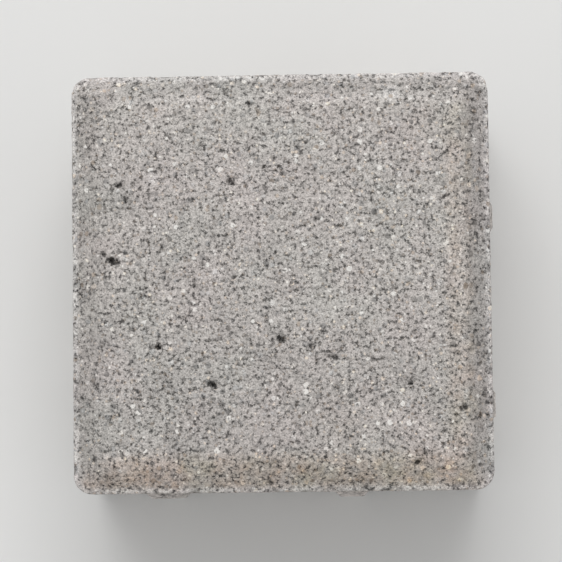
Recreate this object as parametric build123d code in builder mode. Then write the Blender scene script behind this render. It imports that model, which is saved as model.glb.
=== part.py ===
from build123d import *
import os

# A square concrete paving stone, pressed in a steel mould as one solid piece.
# Sizes are in millimetres. +Z points up out of the wearing face, X and Y run along the sides,
# and the origin is the middle of the flat bed face that lies on the laying course.

# Plan of the stone
laying_grid = 100.0  # from the middle of one stone to the middle of the next
joint = 1.3  # open gap between two stones, and so how far the spacers stand out
corner_radius = 4.5  # the four upright corners

# Height
thickness = 60.0  # from the bed face to the wearing face

# Bevel round the wearing face, mitred at the corners
bevel_run = 6.5  # width of the bevel seen from above
bevel_drop = 3.5  # how far the bevel falls on its way to the side wall
crown_radius = 7.0  # soft turn from the wearing face into the bevel, and along the mitres
arris_radius = 1.0  # turn from the bevel into the side wall

# Spacers: upright ribs on the side walls, which run out through the bed because the mould
# is drawn straight up off the stone
spacer_width = 8.0  # foot of the rib, on the wall
spacer_flank = 1.2  # how much each flank leans in from foot to tip
spacer_setback = 8.0  # from the foot of the bevel down to the top of the rib
spacer_lead = 5.0  # height of the sloped lead-in at the top of the rib
spacer_root = 3.0  # how deep the rib reaches into the body that it is cast with
spacer_places = (-29.0, 16.0)  # along each side from its middle, so that facing ribs pass

side = laying_grid - joint
bevel_foot = thickness - bevel_drop
spacer_top = bevel_foot - spacer_setback
wall = side / 2
tip = wall + joint


# One rib, as it stands on the side wall that faces +X
with BuildPart() as spacer:
    with BuildSketch(Plane.XZ):
        with BuildLine():
            Polyline(
                (wall - spacer_root, 0),
                (tip, 0),
                (tip, spacer_top - spacer_lead),
                (wall, spacer_top),
                (wall - spacer_root, spacer_top),
                close=True,
            )
        make_face()
    extrude(amount=spacer_width / 2, both=True)

    # The flanks lean in from the wall to the tip, so that the mould lets go of them
    tip_face = spacer.faces().sort_by(Axis.X)[-1]
    chamfer(
        tip_face.edges().filter_by(Axis.Z),
        length=spacer_flank,
        length2=joint,
        reference=tip_face,
    )


with BuildPart() as stone:
    with BuildSketch(Plane.XY):
        Rectangle(side, side)
    extrude(amount=thickness)

    # Bevel on all four sides of the wearing face
    wearing_face = stone.faces().sort_by(Axis.Z)[-1]
    chamfer(wearing_face.edges(), length=bevel_run, length2=bevel_drop, reference=wearing_face)

    # Soft turns above it and along its four mitres
    mitres, rim = stone.edges().group_by(Axis.Z)[-2:]
    fillet(mitres + rim, crown_radius)

    # Upright corners, then the arris that runs round the foot of the bevel
    fillet(stone.edges().filter_by(Axis.Z), corner_radius)
    arris = stone.edges().filter_by_position(
        Axis.Z, bevel_foot - arris_radius, bevel_foot + arris_radius
    )
    fillet(arris, arris_radius)

    # The same ribs on all four walls
    with PolarLocations(0, 4):
        with Locations(*[(0, place) for place in spacer_places]):
            add(spacer.part)


stone.part.label = "paving_stone"
os.makedirs("parts", exist_ok=True)
export_step(stone.part, "parts/paving_stone.step")
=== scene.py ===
import math

import bpy
import numpy as np
from mathutils import Matrix, Vector, noise


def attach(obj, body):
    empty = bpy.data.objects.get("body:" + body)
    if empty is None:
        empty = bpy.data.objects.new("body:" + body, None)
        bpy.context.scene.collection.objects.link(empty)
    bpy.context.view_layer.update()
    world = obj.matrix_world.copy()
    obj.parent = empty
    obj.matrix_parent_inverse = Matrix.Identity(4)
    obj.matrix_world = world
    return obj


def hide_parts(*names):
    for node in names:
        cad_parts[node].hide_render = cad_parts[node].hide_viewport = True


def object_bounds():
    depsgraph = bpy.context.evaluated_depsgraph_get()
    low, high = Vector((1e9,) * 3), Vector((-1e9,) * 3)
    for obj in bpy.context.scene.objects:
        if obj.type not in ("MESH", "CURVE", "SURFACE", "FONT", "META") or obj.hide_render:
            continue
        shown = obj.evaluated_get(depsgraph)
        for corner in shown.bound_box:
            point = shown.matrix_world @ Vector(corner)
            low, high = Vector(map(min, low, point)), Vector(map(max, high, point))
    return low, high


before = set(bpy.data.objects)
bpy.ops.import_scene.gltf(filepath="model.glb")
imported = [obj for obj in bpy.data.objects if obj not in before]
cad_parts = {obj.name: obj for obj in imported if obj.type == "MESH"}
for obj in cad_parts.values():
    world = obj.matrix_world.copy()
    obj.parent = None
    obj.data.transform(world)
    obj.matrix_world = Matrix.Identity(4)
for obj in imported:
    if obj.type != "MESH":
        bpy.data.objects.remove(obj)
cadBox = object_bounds()
millimetre = 0.001
print("frame loaded, box", [round(edge / millimetre, 1) for edge in cadBox[1] - cadBox[0]], "mm")

# The paving stone, in millimetres. Its overall size comes from the frame.
stone = {
    # as it leaves the mould
    "joint": 1.3,  # how far the spacers stand out of the walls
    "corner": 4.5,  # radius of the upright corners
    "bevelRun": 6.5,
    "bevelDrop": 3.5,
    "crownBlend": 0.9,  # rounding where the bevel meets the face
    "mitreBlend": 1.65,  # rounding where two bevels meet
    "arris": 0.6,  # reach of the turn from bevel to wall, each way
    "spacerPlaces": (-29.0, 16.0),
    "spacerFoot": 8.0,  # width of a spacer on the wall
    "spacerTip": 5.6,
    "spacerTop": 48.5,  # height above the bed
    "spacerLead": 5.0,
    # how fine its mesh is
    "faceCells": 196,  # along one side of the face
    "arrisRows": 5,
    "wallRows": 56,
    "rowCrowding": 0.05,  # how much closer the wall's rows are at both ends
    "bedStep": 2,  # face cells for each cell of the bed
    "bedMargin": 1.1,  # cells between the bottom edge and the bed's grid
    "sharpTurn": 55.0,  # edges that turn by more degrees are shaded sharp
    # relief of the skin: size of its lumps, then their height or depth
    "swell": (24.0, 0.07),  # slow unevenness
    "faceLumps": (4.5, 0.045),
    "faceSand": (1.5, 0.125),
    "sandWorn": 0.25,  # the sand's tops are worn level here, as a share of its height
    "wallStart": 1.5,  # the walls' coarser skin takes over within this, below the bevel
    "pores": (2.2, 0.75),  # open texture between the grains, on the walls and the bed
    "poreLevel": 0.12,  # a higher one leaves fewer pores
    "poreShare": (0.55, 0.5),  # of that depth where the wall is smeared, and what is added if open
    "openPatches": (13.0, 1.6),  # where the mould didn't smear the walls shut: size, contrast
    "facing": (7.0, 4.0),  # how far down the walls the face's finer mix reaches, and fades
    "dragMarks": (1.2, 24.0, 0.10),  # drawn down the walls by the mould: width, length, depth
    "dragOpen": 0.6,  # how much shallower they are on open concrete
    "spacerRub": (0.7, 0.4),  # shares of open patches and pores that the mould rubbed shut there
    "crumbs": (2.0, 0.75),  # lost along the arris and the bottom edge
    "crumbLevel": 0.05,
    "crumbReach": (2.0, 1.2),  # from the arris, from the bottom edge
    # strewn pits: how many, smallest and largest length, depth of a large one
    "facePits": (150, 0.8, 1.7, 0.45),
    "wallPits": (330, 1.2, 4.4, 1.1),
    "bedPits": (170, 1.6, 5.4, 1.3),
    "seed": 41,
    "pitWidth": (0.4, 0.9),  # shares of the length
    "pitSmallDepth": 0.35,  # depth of the smallest, as a share of a large one's
    "pitVaries": (0.7, 1.2),  # each one's own share of its depth
    "pitRagged": (0.75, 0.5),  # how ragged the outlines are, and in what lumps for each length
    "pitRim": 1.35,  # where a bowl starts, in half lengths from its middle
    # pits seen on the face: x, y, length, width, turn in degrees, depth
    "seenPits": (
        (-39.2, 5.2, 3.0, 1.5, -25, 1.4),
        (-41.6, 6.8, 2.4, 1.0, -35, 0.7),
        (-29.0, -15.0, 1.5, 1.4, 0, 1.5),
        (-0.2, -13.6, 2.3, 1.4, -35, 1.2),
        (1.8, -11.8, 1.4, 1.1, 40, 0.6),
        (-38.0, 23.0, 1.8, 1.3, 10, 0.9),
        (-36.5, 19.5, 1.6, 1.3, 30, 0.9),
        (-11.5, 23.5, 2.5, 1.6, -40, 1.1),
        (-7.0, 42.0, 2.1, 1.3, 20, 0.7),
        (-4.0, 27.0, 1.6, 1.2, 60, 0.6),
        (9.0, 14.6, 1.8, 1.2, -30, 0.7),
        (-20.2, -1.0, 1.8, 1.0, -55, 0.6),
        (-16.6, -24.0, 2.2, 1.4, -30, 1.5),
        (38.8, 19.4, 2.3, 1.3, 25, 0.7),
        (7.2, -15.6, 1.7, 1.2, -40, 0.9),
        (12.0, -18.0, 3.7, 1.1, -12, 0.8),
        (42.5, -30.0, 2.2, 1.5, 30, 1.0),
        (31.0, -43.0, 2.0, 1.2, 15, 1.1),
        (33.0, -40.4, 1.6, 1.1, -60, 0.8),
        (-24.0, -34.5, 1.9, 1.3, 50, 0.5),
        (30.0, -24.0, 2.1, 1.3, -40, 1.0),
    ),
    # wear, dirt, painted highlight and painted shade along each side: share, middle of the band in
    # from the wall, its half width
    # partly wear, partly painted highlight along the crown's edge, strongest on the right
    "wearAndHighlight": {
        "front": (0.06, 6.9, 1.0),
        "right": (0.50, 6.8, 0.75),
        "left": (0.10, 6.9, 1.0),
        "back": (0.26, 6.3, 1.0),
    },
    # partly soil, partly painted warm shade on the bevels towards the front and the right
    "soilAndShade": {
        "front": (0.38, 4.4, 4.6),
        "right": (0.20, 7.6, 3.2),
        "left": (0.04, 4.0, 4.0),
        "back": (0.02, 8.0, 3.0),
    },
    # partly grime, partly painted shade along the bevels, darkest on the right
    "grimeAndShade": {
        "front": (0.04, 3.0, 4.0),
        "right": (0.95, 2.6, 4.2),
        "left": (0.48, 3.4, 4.8),
        "back": (0.54, 2.6, 3.6),
    },
    "bandWander": 1.5,  # how unevenly the bands run
    "uneven": (3.0, 0.6),  # size and strength of the patchiness in wear, dirt, painted shade and highlight, and facing
    "markingDepth": 16.0,  # how far down the walls the wear, dirt and painted shade reach
    "arrisWearAndHighlight": (0.5, 0.9),  # a worn arris with a painted highlight: middle in from the wall, reach
    "arrisClean": 0.6,  # share of the dirt that is worn off the arris, and of the painted shade there
    # depths at which the painted shade shows a hollow at its full darkness, and a pit at two thirds
    # of it
    "hollowDepth": 0.3,
    "pitShadeDepth": 0.4,
    # single stains seen on the face: x, y, radius, share
    "seenRubbed": (
        (-30.2, 24.3, 1.5, 0.9),
        (26.4, 44.2, 1.8, 0.8),
        (11.4, 19.8, 1.2, 0.6),
        (-1.1, -30.6, 1.1, 0.6),
        (37.3, -39.3, 1.2, 0.5),
        (-15.2, 1.9, 1.0, 0.5),
    ),
    "seenSoil": (
        (33.0, -42.0, 8.0, 0.08),
        (44.0, -28.0, 7.0, 0.08),
        (34.0, 36.0, 5.0, 0.06),
        (14.0, -34.0, 6.0, 0.08),
    ),
    # the first two are wide painted shade, darker towards the front and the left; the rest are dark
    # specks
    "seenGrimeAndShade": (
        (-5.0, -45.0, 60.0, 0.36),
        (-47.0, -20.0, 20.0, 0.16),
        (-24.5, -39.5, 3.5, 0.45),
        (-16.0, -31.0, 3.5, 0.50),
        (-28.0, -23.5, 3.0, 0.40),
        (-42.0, -13.0, 3.0, 0.50),
        (-38.0, 20.0, 3.0, 0.40),
        (33.0, -42.0, 3.0, 0.40),
    ),
}
half = cadBox[1].x / millimetre - stone["joint"]  # from the middle to a plain wall
top = cadBox[1].z / millimetre
bevelFoot = top - stone["bevelDrop"]
bevelSlope = stone["bevelDrop"] / stone["bevelRun"]


def smoothMin(a, b, blend):
    near = np.clip(blend - np.abs(a - b), 0, None) / blend
    return np.minimum(a, b) - near * near * blend / 4


def crownHeight(x, y):
    # height of the face and its mitred bevel over a point of the plan
    overX = bevelFoot + (half - np.abs(x)) * bevelSlope
    overY = bevelFoot + (half - np.abs(y)) * bevelSlope
    bevel = smoothMin(overX, overY, stone["mitreBlend"])
    return smoothMin(bevel, top, stone["crownBlend"])


def roundCorners(x, y, reach, radius):
    # bends a square grid into the rounded outline, and says which way is outward
    inner = reach - radius
    overX, overY = np.abs(x) - inner, np.abs(y) - inner
    corner = (overX > 0) & (overY > 0)
    far = np.maximum(np.maximum(overX, overY), 1e-9)
    turn = np.where(overX >= overY, overY / far, 2 - overX / far) * math.pi / 4
    turn = np.where(corner, turn, np.where(overX >= overY, 0, math.pi / 2))
    outX, outY = np.sign(x) * np.cos(turn), np.sign(y) * np.sin(turn)
    newX = np.where(corner, np.sign(x) * inner + far * outX, x)
    newY = np.where(corner, np.sign(y) * inner + far * outY, y)
    return newX, newY, outX, outY


def spacerStandout(along, height):
    # how far the ribs stand out of a wall, at a place along it and a height above the bed
    foot, tip = stone["spacerFoot"] / 2, stone["spacerTip"] / 2
    flanks = [(foot - np.abs(along - place)) / (foot - tip) for place in stone["spacerPlaces"]]
    across = np.clip(np.max(flanks, axis=0), 0, 1)
    lead = np.clip((stone["spacerTop"] - height) / stone["spacerLead"], 0, 1)
    return stone["joint"] * np.minimum(across, lead)


def roundedGrid(cells, inset):
    # a square grid of points, with an edge that follows the stone's outline at some inset
    reach = half - inset
    line = np.linspace(-reach, reach, cells + 1)
    x, y = np.meshgrid(line, line, indexing="ij")
    return roundCorners(x, y, reach, stone["corner"] - inset)


def gridFaces(index):
    # the squares of a grid of point numbers, facing up
    corners = [index[:-1, :-1], index[1:, :-1], index[1:, 1:], index[:-1, 1:]]
    return np.stack(corners, axis=-1).reshape(-1, 4)


def borderLoop(cells):
    # grid indices round the edge, counter-clockwise seen from above
    side = range(cells)
    loop = [(i, 0) for i in side] + [(cells, i) for i in side]
    return np.array(loop + [(cells - i, cells) for i in side] + [(0, cells - i) for i in side])


def stoneSkin():
    # one closed skin: the crown as a grid, arris and walls as rows below its edge, then the bed
    cells = stone["faceCells"]
    firstInset = stone["arris"] * math.cos(math.atan(bevelSlope))
    x, y, outX, outY = roundedGrid(cells, firstInset)
    crown = np.stack([x, y, crownHeight(x, y)], axis=-1)
    i, j = borderLoop(cells).T
    edge = crown[i, j]
    outward = np.stack([outX[i, j], outY[i, j], np.zeros(len(i))], axis=-1)
    rim = edge + outward * firstInset
    rim[:, 2] = crownHeight(rim[:, 0], rim[:, 1])  # where bevel and wall would meet if sharp
    below = rim - (0, 0, stone["arris"])

    rows = []
    for k in range(1, stone["arrisRows"]):
        t = k / stone["arrisRows"]
        rows.append((1 - t) ** 2 * edge + 2 * t * (1 - t) * rim + t * t * below)
    for k in range(stone["wallRows"] + 1):
        t = k / stone["wallRows"]
        t -= stone["rowCrowding"] * math.sin(2 * math.pi * t)
        rows.append(below * (1, 1, 1 - t))
    onX = np.abs(outward[:, 0]) > np.abs(outward[:, 1])
    along = np.where(onX, rim[:, 1] * np.sign(rim[:, 0]), -rim[:, 0] * np.sign(rim[:, 1]))
    rows = [row + outward * spacerStandout(along, row[:, 2])[:, None] for row in rows]

    bedCells = cells // stone["bedStep"]
    bedX, bedY, _, _ = roundedGrid(bedCells, stone["bedMargin"] * 2 * half / bedCells)
    bed = np.stack([bedX, bedY, np.zeros_like(bedX)], axis=-1)
    points = np.concatenate([crown.reshape(-1, 3), *rows, bed.reshape(-1, 3)])

    index = np.arange((cells + 1) ** 2).reshape(cells + 1, cells + 1)
    quads = [gridFaces(index)]
    ring = index[i, j]
    for k in range(len(rows)):
        lower = (cells + 1) ** 2 + k * len(ring) + np.arange(len(ring))
        quads.append(np.stack([ring, lower, np.roll(lower, -1), np.roll(ring, -1)], axis=-1))
        ring = lower
    bedIndex = ring[-1] + 1 + np.arange((bedCells + 1) ** 2).reshape(bedCells + 1, bedCells + 1)
    quads.append(gridFaces(bedIndex)[:, ::-1])
    # two wall cells meet each cell of the bed
    i, j = borderLoop(bedCells).T
    inner, ahead = bedIndex[i, j], np.roll(bedIndex[i, j], -1)
    first, middle, last = ring[::2], ring[1::2], np.roll(ring[::2], -1)
    corners = ((first, inner, middle), (middle, inner, ahead), (middle, ahead, last))
    triangles = np.concatenate([np.stack(corner, axis=-1) for corner in corners])
    return points, np.concatenate(quads).tolist() + triangles.tolist()


def field(points, size, octaves=3, shift=0.0):
    # fractal noise from about -1 to 1: size is that of its largest lumps, or one for each axis,
    # and each use has a shift of its own, so that no two of them lie alike
    return np.array([noise.fractal(Vector(p), 1.0, 2.0, octaves) for p in points / size + shift])


def strewnPits(rng, places, count, smallest, largest, depth):
    # many small pits and a few large ones at random points of the skin
    shallow = stone["pitSmallDepth"]
    pits = []
    for x, y, z in places[rng.integers(0, len(places), count)]:
        large = rng.random() ** 3
        length = smallest + (largest - smallest) * large
        width = length * rng.uniform(*stone["pitWidth"])
        turn = rng.uniform(0, 180)
        deep = depth * (shallow + (1 - shallow) * large) * rng.uniform(*stone["pitVaries"])
        pits.append((x, y, z, length, width, turn, deep))
    return pits


def pitDepth(points, pits):
    # how deep the pits leave each point, every pit a ragged bowl
    ragged, lump = stone["pitRagged"]
    depth = np.zeros(len(points))
    for x, y, z, length, width, turn, deep in pits:
        near = np.flatnonzero(np.abs(points - (x, y, z)).max(axis=1) < length)
        dx, dy, dz = (points[near] - (x, y, z)).T
        cosine, sine = math.cos(math.radians(turn)), math.sin(math.radians(turn))
        longways, crossways = dx * cosine + dy * sine, dy * cosine - dx * sine
        far = 2 * np.sqrt((longways / length) ** 2 + (crossways / width) ** 2 + (dz / width) ** 2)
        far += ragged * field(points[near], lump * length, shift=7.0)
        depth[near] = np.maximum(depth[near], deep * np.clip(stone["pitRim"] - far, 0, 1))
    return depth


def fromOutline(x, y):
    # how far in from the stone's rounded outline each point lies
    overX, overY = stone["corner"] - half + np.abs(x), stone["corner"] - half + np.abs(y)
    beyond = np.hypot(np.clip(overX, 0, None), np.clip(overY, 0, None))
    inside = stone["corner"] - beyond - np.minimum(np.maximum(overX, overY), 0)
    return np.clip(inside, 0, None)


def bySide(x, y, values):
    # each point takes the values of the side that it lies nearest to, blended along the mitres
    toward = np.stack([-y, x, -x, y])
    near = np.exp(toward - toward.max(axis=0))
    sides = np.array([values[side] for side in ("front", "right", "left", "back")])
    return sides.T @ (near / near.sum(axis=0))


def wearDirtAndPaintedLight(points, uneven):
    # how much each point carries of wear and painted highlight, of soil and painted warm shade, and
    # of grime and painted shade, from 0 to 1
    x, y, z = points.T
    inset = half - np.maximum(np.abs(x), np.abs(y))
    below = np.clip(bevelFoot - z, 0, None)
    arrisMiddle, arrisReach = stone["arrisWearAndHighlight"]
    arris = np.exp(-((np.hypot(fromOutline(x, y) - arrisMiddle, below) / arrisReach) ** 2))
    down = np.clip(1 - below / stone["markingDepth"], 0, 1) ** 1.5
    wander = stone["bandWander"] * uneven
    shades = {}
    for kind, seen in (("wearAndHighlight", "seenRubbed"), ("soilAndShade", "seenSoil"), ("grimeAndShade", "seenGrimeAndShade")):
        share, middle, spread = bySide(x, y, stone[kind])
        shade = share * np.exp(-(((inset + wander - middle) / spread) ** 4))  # a flat-topped band
        for stainX, stainY, radius, stain in stone[seen]:
            shade += stain * np.exp(-((x - stainX) ** 2 + (y - stainY) ** 2) / radius**2)
        # the arris, worn and lit by a painted highlight
        if kind == "wearAndHighlight":
            shade = np.maximum(shade, arris)
        else:
            shade *= 1 - stone["arrisClean"] * arris
        shades[kind] = np.clip(shade * down * (1 + uneven), 0, 1)
    return shades


def faceRelief(points):
    # worn sand on low lumps
    sandSize, sandHeight = stone["faceSand"]
    lumpSize, lumpHeight = stone["faceLumps"]
    lift = sandHeight * np.minimum(field(points, sandSize), stone["sandWorn"])
    return lift + lumpHeight * field(points, lumpSize, shift=20.0)


def wallRelief(points, wall, rib):
    # open pores and the mould's drag marks, and how open the concrete is
    openSize, openContrast = stone["openPatches"]
    openRub, poreRub = stone["spacerRub"]
    openShare = np.clip(0.5 + openContrast * field(points, openSize, octaves=4, shift=90.0), 0, 1)
    openShare *= 1 - openRub * rib
    poreSize, poreDepth = stone["pores"]
    smeared, opened = stone["poreShare"]
    pores = np.clip(field(points, poreSize, octaves=4, shift=50.0) - stone["poreLevel"], 0, None)
    lift = -poreDepth * pores * (smeared + opened * openShare) * (1 - poreRub * rib)
    dragWidth, dragLength, dragDepth = stone["dragMarks"]
    drag = np.clip(field(points, (dragWidth, dragWidth, dragLength), shift=9.0), 0, None)
    lift -= wall * dragDepth * drag * (1 - stone["dragOpen"] * openShare)
    return lift, openShare


def crumbleDepth(points, wearAndHighlight, bottomEdge):
    # crumbs lost along the arris and the bottom edge
    arrisEdge = wearAndHighlight * np.exp(-np.abs(points[:, 2] - bevelFoot) / stone["crumbReach"][0])
    crumbSize, crumbDepth = stone["crumbs"]
    crumbs = np.clip(field(points, crumbSize, shift=33.0) - stone["crumbLevel"], 0, None)
    return crumbDepth * crumbs * np.maximum(arrisEdge, bottomEdge)


def allPits(points, face, wall, bed):
    # the pits seen on the face, then strewn ones on the face, the walls and the bed
    rng = np.random.default_rng(stone["seed"])
    pits = [(x, y, crownHeight(x, y), *rest) for x, y, *rest in stone["seenPits"]]
    for part, name in ((face, "facePits"), (wall, "wallPits"), (bed, "bedPits")):
        pits += strewnPits(rng, points[part > 0.9], *stone[name])
    return pits


def makeStone():
    points, faces = stoneSkin()
    mesh = bpy.data.meshes.new("pavingStone")
    mesh.from_pydata((points * millimetre).tolist(), [], faces)
    mesh.update()
    normals = np.array([v.normal for v in mesh.vertices])
    print("skin laid out,", len(points), "points")

    # how much of each point is face, wall, bed and spacer
    below = np.clip(bevelFoot - points[:, 2], 0, None)
    bed = np.clip(-normals[:, 2] * 2, 0, 1)
    wall = np.clip(below / stone["wallStart"], 0, 1) * (1 - bed)
    face = 1 - np.maximum(wall, bed)
    standout = np.abs(points[:, :2]).max(axis=1) - half
    rib = wall * np.clip(standout / stone["joint"], 0, 1)

    patchSize, patchStrength = stone["uneven"]
    uneven = patchStrength * field(points, patchSize, shift=3.0)
    swellSize, swellHeight = stone["swell"]
    wallLift, openShare = wallRelief(points, wall, rib)
    lift = face * faceRelief(points) + (1 - face) * wallLift
    lift += swellHeight * np.minimum(field(points, swellSize, octaves=2, shift=70.0), 0)
    shades = wearDirtAndPaintedLight(points, uneven)
    toBottom = points[:, 2] + fromOutline(*points[:, :2].T)
    bottomEdge = np.exp(-toBottom / stone["crumbReach"][1])
    lift -= crumbleDepth(points, shades["wearAndHighlight"], bottomEdge)
    depth = pitDepth(points, allPits(points, face, wall, bed))
    outward = normals - np.outer(bottomEdge * wall, (0, 0, 1))  # the bottom edge crumbles up and in
    outward /= np.linalg.norm(outward, axis=1)[:, None]
    moved = points + outward * (lift - depth)[:, None]
    moved[:, 2] = np.maximum(moved[:, 2], 0)  # nothing hangs below the bed
    mesh.vertices.foreach_set("co", (moved * millimetre).ravel())
    mesh.polygons.foreach_set("use_smooth", [True] * len(mesh.polygons))
    mesh.set_sharp_from_angle(angle=math.radians(stone["sharpTurn"]))

    # what the finish needs to know at each point
    facingDepth, facingFade = stone["facing"]
    bodyMix = (below - facingDepth * (1 + 0.5 * uneven)) / facingFade
    shades["core"] = np.maximum(bed, np.clip(bodyMix, 0, 1))
    shades["open"] = openShare
    shades["rib"] = rib
    # painted shade in the hollows and painted highlight on the raised lumps, from the relief
    shades["hollow"] = np.clip(-lift / stone["hollowDepth"], -1, 1)
    # painted shade in the pits, darker the deeper they are
    shades["pitShade"] = 1 - np.exp(-depth / stone["pitShadeDepth"])
    for name, values in shades.items():
        attribute = mesh.attributes.new(name, "FLOAT", "POINT")
        attribute.data.foreach_set("value", values.astype(np.float32))
    stoneObject = bpy.data.objects.new("paving_stone_dressed", mesh)
    bpy.context.scene.collection.objects.link(stoneObject)
    print("relief worked in,", sum(len(p.vertices) - 2 for p in mesh.polygons), "triangles")
    return stoneObject


# The finish: colours are linear, sizes in millimetres
concrete = {
    "paste": (0.552, 0.521, 0.496, 1),  # cement with the finest sand
    "palest": (0.86, 0.84, 0.80, 1),  # no grain is brighter
    # the soil colour also paints warm shade on the front and right bevels
    "soilAndShade": (0.98, 0.79, 0.63, 1),  # this one and the next four multiply what they lie on
    "moss": (0.89, 0.805, 0.615, 1),
    # the grime colour also paints shade along the bevels and over the front of the face
    "grimeAndShade": (0.74, 0.745, 0.75, 1),
    # the rubbed colour also paints highlights at the arris and the crown's edge
    "wearAndHighlight": (1.34, 1.36, 1.39, 1),
    "rib": (1.12, 1.12, 1.12, 1),
    "roughness": 0.94,
    "grainGloss": 0.16,  # how much smoother a grain is than the paste
    "specular": 0.25,
    # grains: size, smallest and largest radius as shares of it, crispness, how far they cover;
    # the less the smallest radius is, the more of them stay hidden
    "smallGrain": (0.85, 0.05, 0.55, 7.0, 0.8),
    "grain": (1.5, 0.0, 0.55, 8.0, 0.9),
    "gravel": (5.5, -0.25, 0.5, 9.0, 0.6),  # on the walls and the bed only
    "grainBend": (0.8, 0.5),  # size and reach of the bends in their outlines, as shares of the size
    "fineOnGrain": 0.55,  # how much of the fine sand's tone lies on a grain
    "fineOnGravel": 0.35,
    "sandOnWalls": 0.45,  # how much of the face's sand shows there
    "drawn": (1.0, 1.0, 0.16),  # how the mould drew the streaks out, less is longer
    "faceCloses": 0.11,  # how much closed patches have fewer pores, on the face
    "wallOpens": 0.045,  # how much open patches have more of them, on the walls
    "raggedPits": 2.4,  # how far the noise eats into the pits' dark edges
    "pitPaintedShade": (0.90, 0.42),  # painted shade in the pits: on the face, and how much less on the body's own mix
    # bump: its height, then what each layer adds to it
    "bumpHeight": 0.32,
    "fineBump": (0.5, 0.25),  # on the face, on the walls
    "grainBump": 0.35,
    "gravelBump": 0.15,
    # clouds of noise: size, octaves, how much the small ones count
    "clouds": {
        "fineSand": (0.36, 3.0, 0.65),
        "patches": (5.0, 4.0, 0.6),
        "mottle": (24.0, 3.0, 0.5),
        "hue": (14.0, 3.0, 0.6),
        "pores": (0.95, 4.0, 0.68),
        "closedPatches": (6.0, 2.0, 0.5),
        "streaks": (1.5, 4.0, 0.62),
        "wallPores": (1.5, 5.0, 0.7),
        "moss": (9.0, 2.0, 0.5),
        "soilPatches": (3.0, 4.0, 0.7),
        "pitEdge": (0.7, 3.0, 0.5),
    },
    # ramps: places from 0 to 1, and the tone or colour that each one multiplies by
    "tones": {
        "fineSand": [(0.30, 0.55), (0.5, 1.0), (0.7, 1.45)],
        "patches": [(0.30, 0.95), (0.5, 1.0), (0.7, 1.045)],
        "mottle": [(0.3, 0.955), (0.7, 1.04)],
        "hue": [(0.35, (0.985, 1.0, 0.992)), (0.65, (1.018, 0.995, 0.998))],
        "grain": [
            (0.0, (0.44, 0.43, 0.42)),
            (0.35, (0.82, 0.81, 0.80)),
            (0.7, (1.18, 1.17, 1.15)),
            (1.0, (2.05, 2.02, 1.96)),
        ],
        "tint": [(0.0, (0.95, 1.0, 1.05)), (0.6, (1.0, 1.0, 1.0)), (1.0, (1.10, 1.0, 0.90))],
        # painted shade in the face's pores
        "pores": [(0.34, 0.16), (0.43, 0.42), (0.49, 0.90), (0.61, 1.05), (0.84, 1.20)],
        "gravel": [(0.0, 0.70), (0.5, 0.92), (1.0, 1.18)],
        "streaks": [(0.28, 0.86), (0.5, 1.0), (0.72, 1.10)],
        # painted shade in the wall's pores
        "wallPores": [(0.24, 0.28), (0.34, 0.56), (0.40, 0.91), (0.52, 1.03), (0.8, 1.14)],
        # painted shade in the hollows, painted highlight on the lumps
        "hollow": [(0.2, 1.08), (0.5, 1.0), (0.65, 0.886), (1.0, 0.54)],
        "soilPatches": [(0.35, 0.6), (0.65, 1.45)],
    },
    # ramps: places from 0 to 1, and the height or share there
    "shares": {
        "pores": [(0.35, 0.0), (0.51, 0.9), (0.9, 1.1)],
        "wallPores": [(0.26, 0.0), (0.42, 1.1), (0.8, 1.3)],
        "moss": [(0.45, 0.0), (0.6, 1.0)],
        "pit": [(0.08, 0.0), (0.55, 0.8), (0.95, 1.0)],
    },
}


def nodeKit(tree):
    # small helpers that write a node tree from its inputs to its outputs
    def feed(socket, source):
        if isinstance(source, bpy.types.NodeSocket):
            tree.links.new(source, socket)
        elif source is not None:
            socket.default_value = source

    def make(kind, inputs=None, **settings):
        node = tree.nodes.new("ShaderNode" + kind)
        for name, value in settings.items():
            setattr(node, name, value)
        for name, source in (inputs or {}).items():
            feed(node.inputs[name], source)
        return node

    def ramp(source, stops):
        node = make("ValToRGB", {"Fac": source})
        while len(node.color_ramp.elements) < len(stops):
            node.color_ramp.elements.new(0.5)
        for element, (place, tone) in zip(node.color_ramp.elements, stops):
            element.position = place
            element.color = (*tone, 1) if isinstance(tone, tuple) else (tone, tone, tone, 1)
        return node.outputs["Color"]

    def maths(operation, a, b=None, clamp=False):
        node = make("Math", operation=operation, use_clamp=clamp)
        feed(node.inputs[0], a)
        feed(node.inputs[1], b)
        return node.outputs[0]

    def blend(share, a, b, way="MIX"):
        node = make("Mix", data_type="RGBA", blend_type=way)
        feed(node.inputs["Factor"], share)
        feed(node.inputs[6], a)
        feed(node.inputs[7], b)
        return node.outputs[2]

    return make, ramp, maths, blend


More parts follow.
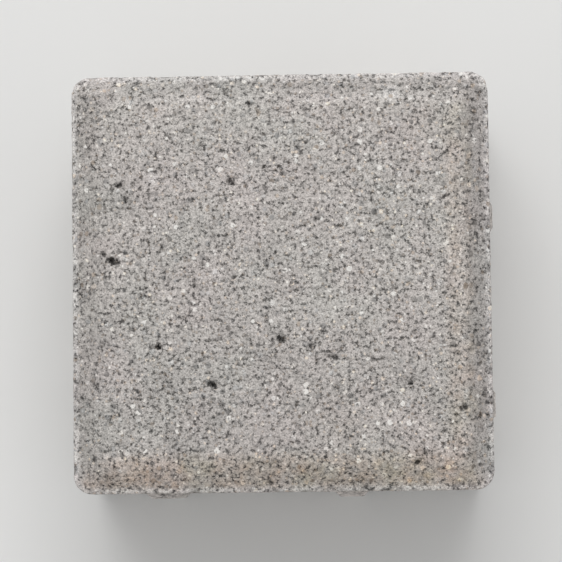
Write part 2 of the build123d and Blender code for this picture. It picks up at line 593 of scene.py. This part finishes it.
def weatheredConcrete():
    material = bpy.data.materials.new("weatheredConcrete")
    material.use_nodes = True
    tree = material.node_tree
    make, ramp, maths, blend = nodeKit(tree)
    shader = tree.nodes["Principled BSDF"]
    where = make("TexCoord").outputs["Object"]
    drawn = make("VectorMath", {0: where, 1: concrete["drawn"]}, operation="MULTIPLY").outputs[0]

    def noiseAt(place, size, detail, rough, output="Fac"):
        scale = 1 / (size * millimetre)
        inputs = {"Vector": place, "Scale": scale, "Detail": detail, "Roughness": rough}
        return make("TexNoise", inputs).outputs[output]

    def clouds(name, place=where):
        return noiseAt(place, *concrete["clouds"][name])

    def tones(source, name):
        return ramp(source, concrete["tones"][name])

    def shares(source, name):
        return ramp(source, concrete["shares"][name])

    def bent(size, reach):
        # the coordinates, pushed about so that the grains aren't round
        push = (reach * millimetre,) * 3
        inputs = {0: noiseAt(where, size, 2.0, 0.5, "Color"), 1: push, 2: where}
        return make("VectorMath", inputs, operation="MULTIPLY_ADD").outputs[0]

    def grains(name):
        # scattered grains: their mask, how far they cover, and two random numbers for each
        size, smallest, largest, crisp, cover = concrete[name]
        bendSize, bendReach = concrete["grainBend"]
        inputs = {"Vector": bent(size * bendSize, size * bendReach), "Scale": 1 / (size * millimetre)}
        cell = make("TexVoronoi", inputs)
        draw = make("SeparateColor", {"Color": cell.outputs["Color"]})
        reach = maths("ADD", maths("MULTIPLY", draw.outputs[0], largest - smallest), smallest)
        inside = maths("SUBTRACT", reach, cell.outputs["Distance"])
        mask = maths("MULTIPLY", inside, crisp, clamp=True)
        return mask, maths("MULTIPLY", mask, cover), draw.outputs[1], draw.outputs[2]

    def shade(name):
        return make("Attribute", attribute_name=name).outputs["Fac"]

    def times(first, *layers):
        for layer in layers:
            first = blend(1.0, first, layer, "MULTIPLY")
        return first

    def toned(colour, *names):
        # multiplies in the tone of each shade where the mesh carries it
        for name in names:
            colour = blend(shade(name), colour, times(colour, concrete[name]))
        return colour

    paste = concrete["paste"]
    fine = clouds("fineSand")
    fineTone = tones(fine, "fineSand")
    finePaste = times(paste, fineTone)
    fineOnFace, fineOnWalls = concrete["fineBump"]
    patches = tones(clouds("patches"), "patches")
    mottle = tones(clouds("mottle"), "mottle")
    hue = tones(clouds("hue"), "hue")

    # the face: worn sand in cement, with painted shade in the fine pores between the grains
    sand = finePaste
    faceBump = maths("MULTIPLY", fine, fineOnFace)
    gloss = 0.0
    for name in ("smallGrain", "grain"):
        mask, cover, tone, tint = grains(name)
        grain = times(paste, tones(tone, "grain"), tones(tint, "tint"))
        grain = blend(concrete["fineOnGrain"], grain, fineTone, "MULTIPLY")
        sand = blend(cover, sand, grain)
        faceBump = maths("ADD", faceBump, maths("MULTIPLY", mask, concrete["grainBump"]))
        gloss = maths("MAXIMUM", mask, gloss)
    filling = maths("MULTIPLY", clouds("closedPatches"), concrete["faceCloses"])
    filling = maths("ADD", clouds("pores"), filling)
    poreShade = tones(filling, "pores")
    face = times(sand, poreShade)
    faceBump = maths("ADD", faceBump, shares(filling, "pores"))

    # walls and bed: the coarser mix of the body, its paste drawn out by the mould
    wall = blend(concrete["sandOnWalls"], finePaste, sand)
    gravelMask, cover, tone, tint = grains("gravel")
    gravel = times(paste, tones(tone, "gravel"), tones(tint, "tint"))
    gravel = blend(concrete["fineOnGravel"], gravel, fineTone, "MULTIPLY")
    wall = blend(cover, wall, gravel)
    # painted shade in the wall's pores, more where the mould left them open
    wallFilling = maths("MULTIPLY", shade("open"), concrete["wallOpens"])
    wallFilling = maths("SUBTRACT", clouds("wallPores"), wallFilling)
    streaks = tones(clouds("streaks", drawn), "streaks")
    wall = times(wall, streaks, tones(wallFilling, "wallPores"))
    gravelBump = maths("MULTIPLY", gravelMask, concrete["gravelBump"])
    wallBump = maths("ADD", maths("MULTIPLY", fine, fineOnWalls), gravelBump)
    wallBump = maths("ADD", wallBump, shares(wallFilling, "wallPores"))

    core = shade("core")
    colour = times(blend(core, face, wall), patches, mottle, hue)

    # then what years of use left on it, with painted shade in the hollows and along the bevels, and
    # painted highlights at the edges
    # painted shade in the hollows and painted highlight on the lumps
    hollow = maths("ADD", maths("MULTIPLY", shade("hollow"), 0.5), 0.5)  # from -1..1 to 0..1
    colour = times(colour, tones(hollow, "hollow"))
    soilAndShade = blend(shares(clouds("moss"), "moss"), concrete["soilAndShade"], concrete["moss"])
    patchySoil = tones(clouds("soilPatches"), "soilPatches")
    soilShare = maths("MULTIPLY", patchySoil, shade("soilAndShade"), clamp=True)
    colour = blend(soilShare, colour, times(colour, soilAndShade, poreShade))  # the pores hold more of it, so their painted shade is laid on once more
    # the lighter ribs, the grime with its painted shade, then the wear with its painted highlights
    colour = toned(colour, "rib", "grimeAndShade", "wearAndHighlight")
    colour = blend(1.0, colour, concrete["palest"], "DARKEN")

    # painted shade in the pits, with ragged edges, paler in the body's own mix
    ragged = maths("MULTIPLY", maths("SUBTRACT", clouds("pitEdge"), 0.5), concrete["raggedPits"])
    pit = maths("MULTIPLY", maths("ADD", shade("pitShade"), ragged), shade("pitShade"))
    darkest, paler = concrete["pitPaintedShade"]
    darkness = maths("SUBTRACT", darkest, maths("MULTIPLY", core, paler))
    darkness = maths("MULTIPLY", shares(pit, "pit"), darkness)
    colour = times(colour, maths("SUBTRACT", 1.0, darkness))
    tree.links.new(colour, shader.inputs["Base Color"])

    gloss = maths("MULTIPLY", gloss, maths("SUBTRACT", 1.0, core))
    gloss = maths("MULTIPLY", gloss, concrete["grainGloss"])
    roughness = maths("SUBTRACT", concrete["roughness"], gloss)
    tree.links.new(roughness, shader.inputs["Roughness"])
    height = blend(core, faceBump, wallBump)
    bumpDistance = concrete["bumpHeight"] * millimetre
    bump = make("Bump", {"Height": height, "Distance": bumpDistance, "Strength": 1.0})
    tree.links.new(bump.outputs["Normal"], shader.inputs["Normal"])
    shader.inputs["Specular IOR Level"].default_value = concrete["specular"]
    return material


pavingStone = makeStone()
pavingStone.data.materials.append(weatheredConcrete())
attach(pavingStone, "root")
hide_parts("paving_stone")
print("stone dressed")

floorLook = {"size": 6.0, "colour": (0.80, 0.80, 0.79, 1.0), "roughness": 0.8}  # size in metres


def makeFloor():
    reach = floorLook["size"] / 2
    mesh = bpy.data.meshes.new("floor")
    corners = [(-reach, -reach, 0), (reach, -reach, 0), (reach, reach, 0), (-reach, reach, 0)]
    mesh.from_pydata(corners, [], [(0, 1, 2, 3)])
    material = bpy.data.materials.new("paleFloor")
    material.use_nodes = True
    shader = material.node_tree.nodes["Principled BSDF"]
    shader.inputs["Base Color"].default_value = floorLook["colour"]
    shader.inputs["Roughness"].default_value = floorLook["roughness"]
    mesh.materials.append(material)
    floor = bpy.data.objects.new("floor", mesh)
    bpy.context.scene.collection.objects.link(floor)


# Soft light from above: an even sky and one large lamp beyond the top edge of the picture
light = {
    "sky": (0.56, 0.56, 0.56, 1.0),
    "lampPower": 14.0,  # in watts, and the next two in metres
    "lampSize": 1.2,
    "lampDistance": 1.6,
    "lampTilt": 38.0,  # from straight above towards +Y, in degrees
    "lampTurn": 5.0,  # and then towards -X
}


def makeLight():
    world = bpy.data.worlds.new("studioSky")
    world.use_nodes = True
    world.node_tree.nodes["Background"].inputs["Color"].default_value = light["sky"]
    bpy.context.scene.world = world
    lamp = bpy.data.lights.new("softLamp", "AREA")
    lamp.energy = light["lampPower"]
    lamp.size = light["lampSize"]
    holder = bpy.data.objects.new("softLamp", lamp)
    bpy.context.scene.collection.objects.link(holder)
    turn = Matrix.Rotation(math.radians(light["lampTurn"]), 3, "Z")
    away = turn @ Matrix.Rotation(math.radians(-light["lampTilt"]), 3, "X") @ Vector((0, 0, 1))
    holder.location = away * light["lampDistance"]
    holder.rotation_euler = away.to_track_quat("Z", "Y").to_euler()


# The camera hangs a little in front of the stone and to its right
camera = {
    "right": 0.0156,  # in metres from the middle of the face, as the next two
    "front": 0.0468,
    "above": 0.627,
    "nearest": 0.01,  # in metres, nothing closer to the lens shows
    "roll": 0.7,  # in degrees
    "lens": 172.0,  # in millimetres
}


def makeCamera():
    data = bpy.data.cameras.new("camera")
    data.lens = camera["lens"]
    data.clip_start = camera["nearest"]
    holder = bpy.data.objects.new("camera", data)
    bpy.context.scene.collection.objects.link(holder)
    back = Vector((camera["right"], -camera["front"], camera["above"]))
    holder.location = Vector((0, 0, cadBox[1].z)) + back
    right = Vector((0, 1, 0)).cross(back).normalized()
    aim = Matrix((right, back.cross(right).normalized(), back.normalized())).transposed()
    roll = Matrix.Rotation(math.radians(-camera["roll"]), 3, "Z")
    holder.rotation_euler = (aim @ roll).to_euler()
    bpy.context.scene.camera = holder


makeFloor()
makeLight()
makeCamera()
bpy.context.scene.view_settings.view_transform = "Standard"
print("floor, light and camera set")
